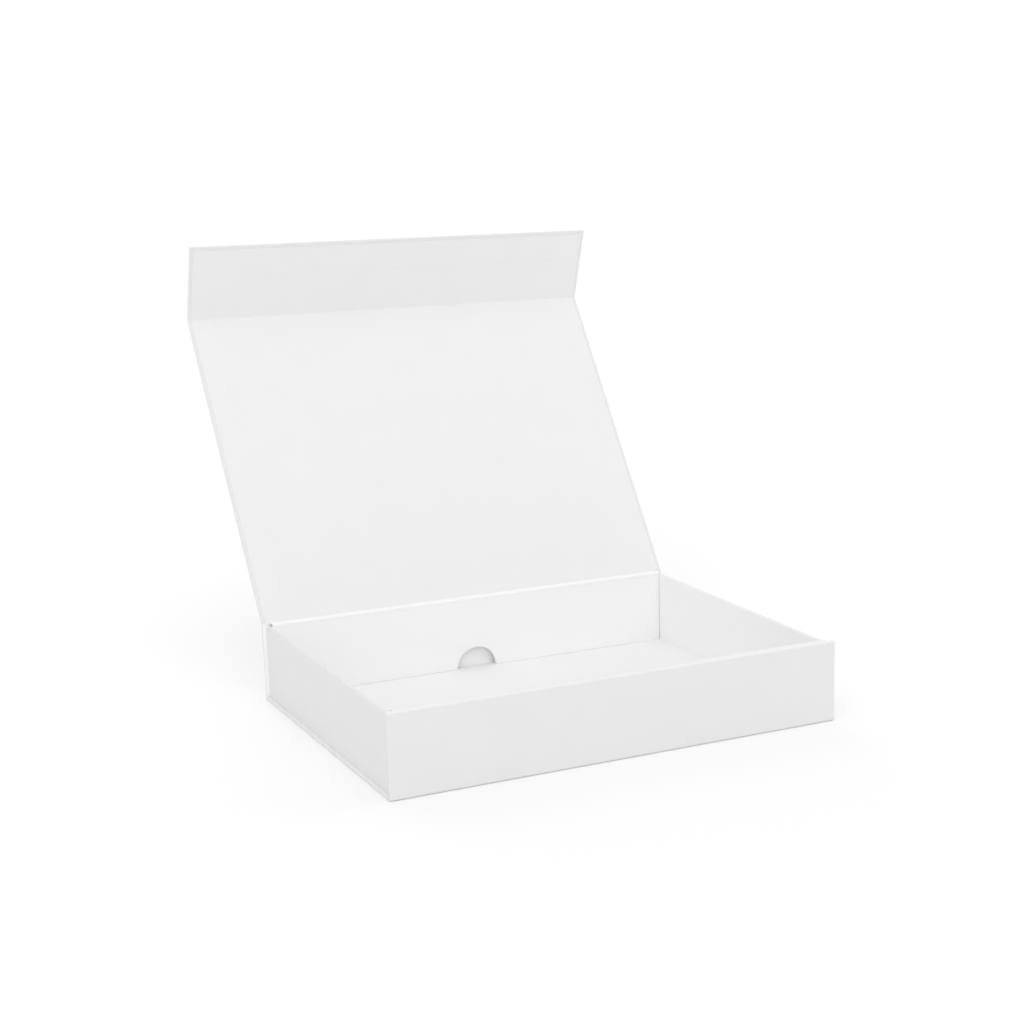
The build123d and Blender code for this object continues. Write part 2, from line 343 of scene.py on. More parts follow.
def paper_material(name, colour, roughness, mottle, fibre_height, sheen):
    """White paper: faint cloudiness, fine fibres and a slightly uneven gloss."""
    material = bpy.data.materials.new(name)
    material.use_nodes = True
    tree = material.node_tree
    shader = tree.nodes["Principled BSDF"]
    place = tree.nodes.new("ShaderNodeTexCoord")

    cloud = tree.nodes.new("ShaderNodeTexNoise")
    cloud.inputs["Scale"].default_value = 38.0
    cloud.inputs["Detail"].default_value = 3.0
    link(tree, place.outputs["Object"], cloud.inputs["Vector"])

    fleck = tree.nodes.new("ShaderNodeTexNoise")
    fleck.inputs["Scale"].default_value = 900.0
    fleck.inputs["Detail"].default_value = 4.0
    fleck.inputs["Roughness"].default_value = 0.7
    link(tree, place.outputs["Object"], fleck.inputs["Vector"])

    blend = tree.nodes.new("ShaderNodeMix")
    blend.data_type = "FLOAT"
    blend.inputs["Factor"].default_value = 0.35
    link(tree, cloud.outputs["Fac"], blend.inputs["A"])
    link(tree, fleck.outputs["Fac"], blend.inputs["B"])

    tint = tree.nodes.new("ShaderNodeValToRGB")
    tint.color_ramp.elements[0].position = 0.25
    tint.color_ramp.elements[1].position = 0.75
    tint.color_ramp.elements[0].color = [c * (1 - mottle) for c in colour] + [1]
    tint.color_ramp.elements[1].color = [min(1, c * (1 + mottle)) for c in colour] + [1]
    link(tree, blend.outputs["Result"], tint.inputs["Fac"])
    link(tree, tint.outputs["Color"], shader.inputs["Base Color"])

    gloss = tree.nodes.new("ShaderNodeMapRange")
    gloss.inputs["To Min"].default_value = roughness - 0.06
    gloss.inputs["To Max"].default_value = roughness + 0.06
    link(tree, fleck.outputs["Fac"], gloss.inputs["Value"])
    link(tree, gloss.outputs["Result"], shader.inputs["Roughness"])

    stretch = tree.nodes.new("ShaderNodeMapping")
    stretch.inputs["Scale"].default_value = (700.0, 1900.0, 1900.0)
    link(tree, place.outputs["Object"], stretch.inputs["Vector"])
    fibre = tree.nodes.new("ShaderNodeTexNoise")
    fibre.inputs["Scale"].default_value = 1.0
    fibre.inputs["Detail"].default_value = 5.0
    fibre.inputs["Distortion"].default_value = 0.6
    link(tree, stretch.outputs["Vector"], fibre.inputs["Vector"])
    bump = tree.nodes.new("ShaderNodeBump")
    bump.inputs["Strength"].default_value = 0.35
    bump.inputs["Distance"].default_value = fibre_height
    link(tree, fibre.outputs["Fac"], bump.inputs["Height"])
    link(tree, bump.outputs["Normal"], shader.inputs["Normal"])

    shader.inputs["Specular IOR Level"].default_value = 0.35
    shader.inputs["Sheen Weight"].default_value = sheen
    return material


def grey_board_material():
    """Raw recycled board: grey pulp with dark and light fibres."""
    material = bpy.data.materials.new("grey_board")
    material.use_nodes = True
    tree = material.node_tree
    shader = tree.nodes["Principled BSDF"]
    place = tree.nodes.new("ShaderNodeTexCoord")
    pulp = tree.nodes.new("ShaderNodeTexNoise")
    pulp.inputs["Scale"].default_value = 650.0
    pulp.inputs["Detail"].default_value = 8.0
    pulp.inputs["Roughness"].default_value = 0.75
    link(tree, place.outputs["Object"], pulp.inputs["Vector"])
    tint = tree.nodes.new("ShaderNodeValToRGB")
    tint.color_ramp.elements[0].position = 0.3
    tint.color_ramp.elements[1].position = 0.72
    tint.color_ramp.elements[0].color = (0.24, 0.23, 0.21, 1)
    tint.color_ramp.elements[1].color = (0.42, 0.41, 0.38, 1)
    link(tree, pulp.outputs["Fac"], tint.inputs["Fac"])
    link(tree, tint.outputs["Color"], shader.inputs["Base Color"])
    bump = tree.nodes.new("ShaderNodeBump")
    bump.inputs["Strength"].default_value = 0.6
    bump.inputs["Distance"].default_value = 0.08 * MM
    link(tree, pulp.outputs["Fac"], bump.inputs["Height"])
    link(tree, bump.outputs["Normal"], shader.inputs["Normal"])
    shader.inputs["Roughness"].default_value = 0.9
    return material


def metal_material(name, colour, roughness, grain):
    """Plated or bare disc metal with a fine turned grain."""
    material = bpy.data.materials.new(name)
    material.use_nodes = True
    tree = material.node_tree
    shader = tree.nodes["Principled BSDF"]
    place = tree.nodes.new("ShaderNodeTexCoord")
    scratch = tree.nodes.new("ShaderNodeTexNoise")
    scratch.inputs["Scale"].default_value = grain
    scratch.inputs["Detail"].default_value = 5.0
    link(tree, place.outputs["Object"], scratch.inputs["Vector"])
    gloss = tree.nodes.new("ShaderNodeMapRange")
    gloss.inputs["To Min"].default_value = roughness - 0.08
    gloss.inputs["To Max"].default_value = roughness + 0.08
    link(tree, scratch.outputs["Fac"], gloss.inputs["Value"])
    link(tree, gloss.outputs["Result"], shader.inputs["Roughness"])
    shader.inputs["Base Color"].default_value = (*colour, 1)
    shader.inputs["Metallic"].default_value = 1.0
    return material


def tape_material():
    """Double-sided tissue tape: milky film with a pale crinkled tissue."""
    material = bpy.data.materials.new("adhesive_tape")
    material.use_nodes = True
    tree = material.node_tree
    shader = tree.nodes["Principled BSDF"]
    place = tree.nodes.new("ShaderNodeTexCoord")
    tissue = tree.nodes.new("ShaderNodeTexNoise")
    tissue.inputs["Scale"].default_value = 420.0
    tissue.inputs["Detail"].default_value = 6.0
    link(tree, place.outputs["Object"], tissue.inputs["Vector"])
    tint = tree.nodes.new("ShaderNodeValToRGB")
    tint.color_ramp.elements[0].color = (0.66, 0.62, 0.53, 1)
    tint.color_ramp.elements[1].color = (0.82, 0.79, 0.71, 1)
    link(tree, tissue.outputs["Fac"], tint.inputs["Fac"])
    link(tree, tint.outputs["Color"], shader.inputs["Base Color"])
    shader.inputs["Roughness"].default_value = 0.35
    return material


WRAP = paper_material(
    "wrap_paper",
    colour=(0.82, 0.82, 0.82),
    roughness=0.55,
    mottle=0.012,
    fibre_height=0.012 * MM,
    sheen=0.0,
)
LINING = paper_material(
    "lining_paper",
    colour=(0.87, 0.87, 0.87),
    roughness=0.62,
    mottle=0.010,
    fibre_height=0.016 * MM,
    sheen=0.0,
)
# Painted light: a lighter copy of the lining paper for faces inside the tray, which paints the
# light that falls and bounces there
INSIDE_PAINTED_LIGHT = paper_material(
    "inside_paper_painted_light",
    colour=(0.96, 0.96, 0.96),
    roughness=0.62,
    mottle=0.008,
    fibre_height=0.016 * MM,
    sheen=0.0,
)
# Painted light: a lighter copy of the lining paper for the tray's floor, which paints the light
# that falls on it
FLOOR_PAPER_PAINTED_LIGHT = paper_material(
    "floor_paper_painted_light",
    colour=(0.895, 0.895, 0.895),
    roughness=0.62,
    mottle=0.010,
    fibre_height=0.016 * MM,
    sheen=0.0,
)
BOARD = grey_board_material()
MAGNET = metal_material("magnet", (0.62, 0.62, 0.63), 0.22, 900.0)
STEEL = metal_material("steel_disc", (0.52, 0.52, 0.53), 0.38, 1400.0)
TAPE = tape_material()

SLOT_MATERIALS = {
    "wrap_paper": WRAP,
    "lining_paper": LINING,
    "grey_board": BOARD,
    "adhesive_tape": TAPE,
    "magnet": MAGNET,
    "steel_disc": STEEL,
}


def dress(piece, slot, *nodes, material=None):
    """Gives a paper piece its material and the solids that it stands for."""
    piece.data.materials.append(material or SLOT_MATERIALS[slot])
    if nodes:
        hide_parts(*nodes)


def paint_light_on_faces(piece, material, chosen):
    """Gives the chosen faces of a piece a lighter paper: painted light for the light that falls
    on them.
    """
    number = len(piece.data.materials)
    piece.data.materials.append(material)
    for polygon in piece.data.polygons:
        if chosen(polygon):
            polygon.material_index = number


# Lid and front flap panels


def turned_in_rise(point, box, depth_near, depth_far):
    """How far a point lies over a turned-in edge: 1 over it, 0 on bare board."""
    low, high = box
    inside = min(
        point.x - low.x - TURN_IN,
        high.x - TURN_IN - point.x,
        point.y - low.y - depth_far,
        high.y - depth_near - point.y,
    )
    return 1 - smooth_step(inside / STEP_WIDTH + 0.5)


def panel_skin(name, body, turn, wrap, lining, turn_in_far, seed):
    """The outer wrap of a tilted panel and the lining glued inside it."""
    low, high = flat_box(wrap, turn)
    low.z = high.z - PANEL_DEPTH
    far = turn_in_far if turn_in_far else NO_TURN_IN
    marks_x = step_marks(low.x + TURN_IN) + step_marks(high.x - TURN_IN)
    marks_y = step_marks(low.y + turn_in_far) if turn_in_far else []

    def rise(point):
        return turned_in_rise(point, (low, high), NO_TURN_IN, far)

    def calm_wave(point):
        """The sheet's waviness, which dies out towards its edges."""
        return wave(point, seed) * smooth_step(edge_distance(point, low, high) / CALM_EDGE)

    def wrap_lift(point):
        inner = smooth_step((high.z - point.z) / (high.z - low.z))
        return calm_wave(point) + inner * PAPER * (1 - rise(point))

    skin_low, skin_high = low.copy(), high.copy()
    skin_high.y += PAPER
    if not turn_in_far:
        skin_low.y -= PAPER
    skin = slab(name, skin_low, skin_high, PANEL_ROUND, turn, marks_x, marks_y, wrap_lift)
    dress(skin, "wrap_paper", wrap)
    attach(skin, body)

    sheet_low, sheet_high = flat_box(lining, turn)
    sheet_low.z = low.z - PAPER
    sheet_high.z = low.z + PAPER / 4

    def lining_lift(point):
        return calm_wave(point) + PAPER * (1 - rise(point))

    sheet = slab(
        name + "_lining",
        sheet_low,
        sheet_high,
        SHEET_ROUND,
        turn,
        marks_x,
        marks_y,
        lining_lift,
    )
    dress(sheet, "lining_paper", lining)
    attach(sheet, body)
    return low, high


lid_low, lid_high = panel_skin(
    "lid_panel", "lid", OPENED, "lid_wrap", "lid_lining", 0.0, seed=1
)
flap_low, flap_high = panel_skin(
    "front_flap_panel",
    "front_flap",
    FOLDED,
    "flap_wrap",
    "flap_lining",
    FLAP_TURN_IN,
    seed=2,
)


# Base and spine


def base_panel():
    low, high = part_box("base_wrap")
    edges = (low.x + TURN_IN, high.x - TURN_IN)
    marks = step_marks(edges[0]) + step_marks(edges[1])

    def lift(point):
        inside = min(point.x - edges[0], edges[1] - point.x)
        bare = smooth_step(inside / STEP_WIDTH + 0.5)
        return -2 * PAPER * bare * smooth_step((point.z - low.z) / (high.z - low.z))

    piece = slab("base_panel", low, high, BASE_ROUND, UPRIGHT, marks, (), lift)
    dress(piece, "wrap_paper", "base_wrap")
    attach(piece, "tray")


def floor_sheet():
    """The floor lining, which steps up over the turned-in ends of the base."""
    low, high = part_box("base_lining")
    base_low, base_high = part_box("base_wrap")
    top = high.z
    low.z = top - PAPER
    edges = (base_low.x + TURN_IN, base_high.x - TURN_IN)
    marks_x = step_marks(edges[0]) + step_marks(edges[1])

    def lift(point):
        inside = min(point.x - edges[0], edges[1] - point.x)
        return wave(point, 5) * 0.5 - PAPER * smooth_step(inside / STEP_WIDTH + 0.5)

    piece = slab("floor_lining", low, high, SHEET_ROUND, UPRIGHT, marks_x, (), lift)
    dress(piece, "lining_paper", "base_lining", material=FLOOR_PAPER_PAINTED_LIGHT)
    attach(piece, "tray")


def upright_panel(name, node_low, node_high, rounding, seed):
    """A slab that stands up across the box, built lying down."""
    middle = (node_low + node_high) / 2
    stand = Matrix.Translation(middle) @ Matrix.Rotation(math.radians(90), 4, "X")
    size = node_high - node_low
    low = Vector((-size.x, -size.z, -size.y)) / 2
    high = -low

    def lift(point):
        return wave(point, seed) * smooth_step(edge_distance(point, low, high) / CALM_EDGE)

    return slab(name, low, high, rounding, stand, lift=lift)


def spine_panel():
    low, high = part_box("spine_wrap")
    high = high + Vector((0, 0, SPINE_COVER))
    piece = upright_panel("spine_panel", low, high, SPINE_ROUND, 3)
    dress(piece, "wrap_paper", "spine_wrap", "spine_lining")
    # Painted light: the spine's inner face gets the lighter inside paper, for the light that
    # falls in the tray
    paint_light_on_faces(piece, INSIDE_PAINTED_LIGHT, lambda face: face.normal.y < -INWARD)
    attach(piece, "tray")


base_panel()
floor_sheet()
spine_panel()


# Front wall


def front_wall():
    """The front panel, its top and the inner panel behind it, in one sheet."""
    low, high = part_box("front_wrap")
    inner_low, inner_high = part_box("inner_front_board")
    thin_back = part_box("front_board")[1].y + PAPER
    span = inner_high.x + INNER_PANEL_REACH
    floor = inner_low.z

    def section(x, back, back_round):
        top = high.z
        foot = (low.y + FRONT_FOOT_ROUND, low.z + FRONT_FOOT_ROUND)
        ring = arc(foot, FRONT_FOOT_ROUND, 270, 180)
        crown = (low.y + FRONT_TOP_ROUND, top - FRONT_TOP_ROUND)
        lower = (low.y, foot[1] + EDGE_CELL)
        upper = (low.y, crown[1] - EDGE_CELL)
        ring += [lower] + between(lower, upper) + [upper]
        ring += arc(crown, FRONT_TOP_ROUND, 180, 90, 6)
        rear = (back - back_round, top - back_round)
        middle_y = (crown[0] + rear[0]) / 2
        ring += [(middle_y, top)]
        ring += arc(rear, back_round, 90, 0, 6)
        upper = (back, rear[1] - EDGE_CELL)
        lower = (back, floor)
        ring += [upper] + between(upper, lower) + [lower]
        ring += [(thin_back, floor - THIN_STEP), (thin_back, low.z)]
        return [Vector((x, y, z)) for y, z in ring]

    def waved(ring):
        moved = []
        for point in ring:
            share = min(point.z - low.z, high.z - point.z) / CALM_TOP
            moved.append(point + Vector((0, wave(point, 4) * smooth_step(share), 0)))
        return moved

    def end_ring(x, share):
        inset = FRONT_END_ROUND * (1 - math.sqrt(1 - share * share))
        return shrunk(section(x, thin_back, THIN_TOP_ROUND), inset, low, thin_back)

    end_shares = (1.0, 0.6, 0.25, 0.0)
    rings = [end_ring(low.x + FRONT_END_ROUND * (1 - share), share) for share in end_shares]
    rings.append(section(-span - INNER_PANEL_STEP, thin_back, THIN_TOP_ROUND))
    for x in spread(-span, span, FRONT_END_ROUND):
        edge = min(x + span, span - x)
        share = min(edge / FRONT_END_ROUND, 1.0)
        dip = FRONT_END_ROUND * (1 - math.sqrt(1 - (1 - share) ** 2))
        back = inner_high.y + PAPER - dip
        rings.append(section(x, back, FRONT_TOP_ROUND))
    rings.append(section(span + INNER_PANEL_STEP, thin_back, THIN_TOP_ROUND))
    for share in end_shares[::-1]:
        rings.append(end_ring(high.x - FRONT_END_ROUND * (1 - share), share))
    rings = [waved(ring) for ring in rings]
    piece = loft("front_wall", [ring[::-1] for ring in rings])
    dress(piece, "wrap_paper", "front_wrap")
    # Painted light: this one sheet is painted lighter where it faces into the tray and where it
    # faces up, for the light that falls there
    paint_light_on_faces(piece, INSIDE_PAINTED_LIGHT, lambda face: face.normal.y > INWARD and face.center.y > thin_back)
    paint_light_on_faces(piece, LINING, lambda face: face.normal.z > UPWARD)
    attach(piece, "tray")


def shrunk(ring, inset, low, back):
    """An end ring drawn in on all sides, which rounds the panel's end."""
    top = max(point.z for point in ring)
    found = []
    for point in ring:
        y = min(max(point.y, low.y + inset), back - inset)
        z = min(max(point.z, low.z + inset), top - inset)
        found.append(Vector((point.x, y, z)))
    return found


front_wall()


# Side walls


def wall_path(outer_x, inner_x, tip_x, front, back, thickness):
    """Outer and inner points of a side wall and its tabs, seen from above."""
    radius = CORNER_ROUND
    rear_radius = REAR_CORNER_ROUND
    small = INNER_CORNER_ROUND
    pairs = []
    front_in = front + thickness
    back_in = back - thickness
    for x in spread(tip_x, outer_x - radius):
        pairs.append(((x, front), (min(x, inner_x - small), front_in)))
    outer_arc = arc((outer_x - radius, front + radius), radius, -90, 0, 6)
    inner_arc = arc((inner_x - small, front_in + small), small, -90, 0, 6)
    pairs += list(zip(outer_arc, inner_arc))
    ys = spread(front + radius, back - rear_radius, EDGE_CELL)
    for y in ys[1:-1]:
        inside = min(max(y, front_in + small), back_in - small)
        pairs.append(((outer_x, y), (inner_x, inside)))
    corner = (outer_x - rear_radius, back - rear_radius)
    outer_arc = arc(corner, rear_radius, 0, 90, 6)
    inner_arc = arc((inner_x - small, back_in - small), small, 0, 90, 6)
    pairs += list(zip(outer_arc, inner_arc))
    for x in spread(tip_x, outer_x - rear_radius)[::-1]:
        pairs.append(((x, back), (min(x, inner_x - small), back_in)))
    return pairs


def wall_ring(outer, inner, bottom, top, thickness, seed):
    """One upright section of a wall, with a rounded top."""
    outer = Vector((*outer, 0))
    inner = Vector((*inner, 0))
    across = inner - outer
    scale = across.length / thickness
    across.normalize()
    width = scale * thickness
    rounding = WALL_ROUND
    ring = []
    levels = [bottom, top - rounding - EDGE_CELL]
    rise = between((0.0, levels[0]), (0.0, levels[1]))
    ring += [(0.0, levels[0])] + rise + [(0.0, levels[1])]
    crown = arc((rounding, top - rounding), rounding, 180, 90, 5)
    ring += [(u * scale, v) for u, v in crown]
    ring += [(width - u * scale, v) for u, v in crown[::-1]]
    ring += [(width, levels[1])] + [(width, v) for _, v in rise[::-1]]
    ring += [(width, levels[0])]
    points = []
    for u, v in ring:
        point = outer + across * u
        point.z = v
        calm = smooth_step(min(v - bottom, top - v) / CALM_TOP)
        points.append(point + across * wave(point, seed) * calm)
    return points


def side_wall(side):
    sign = 1 if side == "right" else -1
    low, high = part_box(side + "_wall_wrap")
    board_low, board_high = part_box(side + "_wall_board")
    xs = sorted(abs(x) for x in (low.x, high.x))
    inner_x = min(abs(board_low.x), abs(board_high.x)) - PAPER
    thickness = xs[1] - inner_x
    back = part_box("spine_wrap")[0].y + REAR_CORNER_ROUND
    pairs = wall_path(xs[1], inner_x, xs[0], low.y, back, thickness)
    seed = 6 if sign > 0 else 7
    rings = [
        wall_ring(outer, inner, low.z, high.z, thickness, seed) for outer, inner in pairs
    ]
    if sign < 0:
        rings = [[Vector((-p.x, p.y, p.z)) for p in ring] for ring in rings]
        rings = rings[::-1]
    piece = loft(side + "_wall", rings)
    dress(piece, "wrap_paper", side + "_wall_wrap")
    # Painted light: the wall's inner face gets the lighter inside paper, for the light that
    # falls in the tray
    paint_light_on_faces(piece, INSIDE_PAINTED_LIGHT, lambda face: face.normal.x * sign < -INWARD)
    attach(piece, "tray")


side_wall("right")
side_wall("left")


# Locking flap with its thumb notch


def locking_flap():
    low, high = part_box("locking_flap_wrap")
    front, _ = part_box("locking_flap_lining")
    low.y = front.y
    low.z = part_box("base_lining")[1].z - FLAP_DROP
    low.x -= FLAP_REACH
    high.x += FLAP_REACH

    def outline(inset):
        radius = NOTCH_RADIUS + inset
        drop = math.degrees(math.asin(inset / radius))
        bottom = low.z + inset
        notch = arc((0.0, low.z), radius, 180 - drop, drop, NOTCH_STEPS)
        left, right = low.x + inset, high.x - inset
        points = [(left, bottom)] + notch + [(right, bottom)]
        points += [(right, high.z - inset), (left, high.z - inset)]
        return points

    angles = [math.radians(degrees) for degrees in (0, 22.5, 45, 67.5, 90)]
    rings = []
    for face_y, inwards, turns in ((low.y, 1, angles), (high.y, -1, angles[::-1])):
        for angle in turns:
            inset = FLAP_ROUND * (1 - math.sin(angle))
            y = face_y + inwards * FLAP_ROUND * (1 - math.cos(angle))
            rings.append([Vector((x, y, z)) for x, z in outline(inset)])
    piece = loft("locking_flap_panel", rings)
    nodes = ("locking_flap_wrap", "locking_flap_lining")
    # Painted light: the whole flap is in the lighter inside paper, for the light that falls in
    # the tray
    dress(piece, "lining_paper", *nodes, material=INSIDE_PAINTED_LIGHT)
    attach(piece, "locking_flap")


locking_flap()


# Fold papers between the boards, shaped where the panels rest


def bezier(start, pull, end, steps=8):
    """A curved line of (y, z) points from start to end, drawn towards pull."""
    found = []
    for i in range(steps + 1):
        t = i / steps
        found.append(
            tuple(
                (1 - t) ** 2 * a + 2 * t * (1 - t) * b + t * t * c
                for a, b, c in zip(start, pull, end)
            )
        )
    return found


def moved(turn, y, z):
    point = turn @ Vector((0, y, z))
    return (point.y, point.z)


def towards(point, target, distance):
    """A (y, z) point moved straight towards another."""
    step = Vector(target) - Vector(point)
    return tuple(Vector(point) + step.normalized() * distance)


def fold_band(name, outer, inner, half, lining_half, node, start, end, first_depth):
    """A soft fold between two boards: wrap outside, lining inside, closed ends.

    Outer and inner are lines of equally many (y, z) points across the fold. The
    inner one sinks with the lining where no turned-in edge lies under it, by the
    first depth, 0 or 1 sheet, at its start and by one sheet at its end.
    """
    count = len(outer)
    bare = half - TURN_IN
    half -= PROUD
    depths = [first_depth + (1 - first_depth) * i / (count - 1) for i in range(count)]
    round_shares = (0.0, 0.3, 0.62, 0.88, 1.0)
    ends = [
        (half - PANEL_ROUND * (1 - share), PANEL_ROUND * (1 - math.sqrt(1 - share**2)))
        for share in round_shares
    ]
    inside = half - PANEL_ROUND - EDGE_CELL
    stations = [(x, 0.0) for x in spread(lining_half + LINING_MARGIN, inside)] + ends
    marks = step_marks(-bare) + step_marks(bare)
    middle = [(x, 0.0) for x in spread(-lining_half, lining_half, marks=marks)]
    stations = [(-x, inset) for x, inset in stations[::-1]] + middle + stations
    rings = []
    for x, inset in stations:
        step = PAPER * smooth_step((bare - abs(x)) / STEP_WIDTH + 0.5)
        lined = abs(x) <= lining_half
        sinks = [step * depth if lined else PAPER for depth in depths]
        ring = [towards(o, i, inset) for o, i in zip(outer, inner)]
        back = [towards(i, o, inset + sink) for o, i, sink in zip(outer, inner, sinks)]
        ring += back[::-1]
        rings.append([Vector((x, y, z)) for y, z in ring])
    piece = loft(name, rings)
    dress(piece, "wrap_paper", node)
    piece.data.materials.append(LINING)
    for polygon in piece.data.polygons:
        number, place = divmod(polygon.index, 2 * count)
        if number >= len(rings) - 1 or not count <= place < 2 * count - 1:
            continue
        if abs(polygon.center.x) < lining_half:
            polygon.material_index = 1
    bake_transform(piece)


def lid_fold():
    """The fold between the spine's top and the lid's rear edge."""
    spine_low, spine_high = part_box("spine_wrap")
    pivot = joints["lid_hinge"]["pos_m"][1:]
    top = spine_high.z
    back = spine_high.y
    rear = lid_high.y
    level = lid_low.z - PAPER
    outer_start = (back + PROUD, top - PANEL_ROUND)
    outer_end = moved(OPENED, rear - PANEL_ROUND, lid_high.z + PROUD)
    middle = [(a + b) / 2 for a, b in zip(outer_start, outer_end)]
    pull = [m + (p - m) * LID_PULL for m, p in zip(middle, pivot)]
    outer = [(back - SUNK, top - PANEL_ROUND - LAP)]
    outer += [(back + PROUD, top - PANEL_ROUND - LAP / 2)]
    outer += bezier(outer_start, pull, outer_end)
    outer += [moved(OPENED, rear - PANEL_ROUND - LAP / 2, lid_high.z + PROUD)]
    outer += [moved(OPENED, rear - PANEL_ROUND - LAP, lid_high.z - SUNK)]
    inner_start = (spine_low.y + FOLD_SET_BACK, top + PAPER)
    inner_end = moved(OPENED, rear - LID_CREASE_GAP, level - PROUD)
    corner = (back - FOLD_SET_BACK, top + PAPER)
    middle = [(a + b) / 2 for a, b in zip(inner_start, inner_end)]
    bend = [m + (c - m) * INNER_PULL for m, c in zip(middle, corner)]
    flat_start = spine_low.y + PANEL_ROUND
    inner = [(flat_start, top - SUNK)]
    inner += [(flat_start + PAPER, top + PAPER / 2)]
    inner += bezier(inner_start, bend, inner_end)
    inner += [moved(OPENED, rear - LID_CREASE_GAP - LAP / 2, level - PROUD)]
    inner += [moved(OPENED, rear - LID_CREASE_GAP - LAP, level + SUNK)]
    start = ((spine_low.y + back) / 2, top)
    end = moved(OPENED, rear, (lid_low.z + lid_high.z) / 2)
    fold_band(
        "lid_fold",
        outer,
        inner,
        lid_high.x,
        flat_box("lid_lining", OPENED)[1].x,
        "lid_fold_papers",
        start,
        end,
        first_depth=0,
    )


def flap_fold():
    """The crease between the lid and its front flap."""
    pivot = joints["front_flap_hinge"]["pos_m"][1:]
    rounding = PANEL_ROUND
    near = lid_low.y
    far = flap_high.y
    top = lid_high.z
    level = lid_low.z - PAPER
    outer_start = moved(OPENED, near + rounding, top + PROUD)
    outer_end = moved(FOLDED, far - rounding, top + PROUD)
    middle = [(a + b) / 2 for a, b in zip(outer_start, outer_end)]
    pull = [m + (m - p) * FLAP_PULL for m, p in zip(middle, pivot)]
    outer = [moved(OPENED, near + rounding + LAP, top - SUNK)]
    outer += [moved(OPENED, near + rounding + LAP / 2, top + PROUD)]
    outer += bezier(outer_start, pull, outer_end)
    outer += [moved(FOLDED, far - rounding - LAP / 2, top + PROUD)]
    outer += [moved(FOLDED, far - rounding - LAP, top - SUNK)]
    inner_start = moved(OPENED, near + FLAP_CREASE_GAP, level - PROUD)
    inner_end = moved(FOLDED, far - FLAP_CREASE_GAP, level - PROUD)
    middle = [(a + b) / 2 for a, b in zip(inner_start, inner_end)]
    pull = [m + (p - m) * INNER_PULL for m, p in zip(middle, pivot)]
    inner = [moved(OPENED, near + FLAP_CREASE_GAP + LAP, level + SUNK)]
    inner += [moved(OPENED, near + FLAP_CREASE_GAP + LAP / 2, level - PROUD)]
    inner += bezier(inner_start, pull, inner_end)
    inner += [moved(FOLDED, far - FLAP_CREASE_GAP - LAP / 2, level - PROUD)]
    inner += [moved(FOLDED, far - FLAP_CREASE_GAP - LAP, level + SUNK)]
    board_middle = (lid_low.z + lid_high.z) / 2
    fold_band(
        "flap_fold",
        outer,
        inner,
        lid_high.x,
        flat_box("lid_lining", OPENED)[1].x,
        "flap_fold_papers",
        moved(OPENED, near, board_middle),
        moved(FOLDED, far, board_middle),
        first_depth=1,
    )


def locking_fold():
    """The lining that runs from the spine's top over to the locking flap."""
    low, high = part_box("locking_flap_fold_paper")
    flap_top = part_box("locking_flap_board")[1].z
    front = low.y - PROUD
    top = high.z
    ledge = (high.y + LEDGE_LAP, top)
    start = (front + LOCKING_BEND, top)
    end = (front, top - LOCKING_BEND)
    line = [ledge] + between(ledge, start, LOCKING_CELL)
    line += bezier(start, (front, top), end)
    line += [(front, flap_top - LAP / 2), (front + SUNK, flap_top - LAP)]
    inner = []
    for i, here in enumerate(line):
        before = line[max(i - 1, 0)]
        after = line[min(i + 1, len(line) - 1)]
        along = Vector((after[0] - before[0], after[1] - before[1])).normalized()
        inner.append((here[0] - along.y * PAPER, here[1] + along.x * PAPER))
    xs = spread(-high.x, high.x, SHEET_ROUND)
    rings = [[Vector((x, y, z)) for y, z in line + inner[::-1]] for x in xs]
    piece = loft("locking_flap_fold", rings)
    # Painted light: the fold is in the lighter inside paper, for the light that falls in the
    # tray
    dress(piece, "lining_paper", "locking_flap_fold_paper", material=INSIDE_PAINTED_LIGHT)
    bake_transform(piece)


lid_fold()
flap_fold()
locking_fold()


# Boards, magnets, discs and tapes of the frame


def dress_frame():
    slots = {part["node"]: part["material_slot"] for part in frame["record"]["subparts"]}
    for node, piece in frame["nodes"].items():
        material = SLOT_MATERIALS[slots[node]]
        piece.data.materials.clear()
        piece.data.materials.append(material)


dress_frame()


# Studio: floor, light and camera


FLOOR_HALF = 40.0


def floor():
    mesh = bpy.data.meshes.new("studio_floor")
    signs = ((-1, -1), (1, -1), (1, 1), (-1, 1))
    corners = [(x * FLOOR_HALF, y * FLOOR_HALF, 0.0) for x, y in signs]
    mesh.from_pydata(corners, [], [[0, 1, 2, 3]])
    ground = bpy.data.objects.new("studio_floor", mesh)
    bpy.context.scene.collection.objects.link(ground)
    material = bpy.data.materials.new("studio_floor")
    material.use_nodes = True
    shader = material.node_tree.nodes["Principled BSDF"]
    shader.inputs["Base Color"].default_value = (0.985, 0.985, 0.985, 1)
    shader.inputs["Roughness"].default_value = 0.95
    shader.inputs["Specular IOR Level"].default_value = 0.0
    ground.data.materials.append(material)


# Soft studio lights round the box: azimuth clockwise from straight behind it and
# elevation, in degrees, then how tight each light is, and its strength, which was
# fitted to the photograph's brightness
SOFT_LIGHTS = (
    (0, 25, 6, 1.228),
    (0, 60, 8, 0.256),
    (90, 25, 6, 0.926),
    (180, 25, 6, 0.134),
    (180, 60, 8, 1.218),
    (225, 25, 6, 0.985),
    (270, 60, 8, 0.389),
    (315, 25, 6, 0.119),
)
FILL_STRENGTH = 0.328
BACKDROP_STRENGTH = 1.06


def sky_direction(azimuth, elevation):
    azimuth = math.radians(azimuth)
    elevation = math.radians(elevation)
    level = math.cos(elevation)
    return (math.sin(azimuth) * level, math.cos(azimuth) * level, math.sin(elevation))


def number_node(tree, operation, first, second):
    """A math node on two sources, each a socket or a plain number."""
    node = tree.nodes.new("ShaderNodeMath")
    node.operation = operation
    for socket, source in zip(node.inputs, (first, second)):
        if isinstance(source, (int, float)):
            socket.default_value = source
        else:
            link(tree, source, socket)
    return node.outputs["Value"]


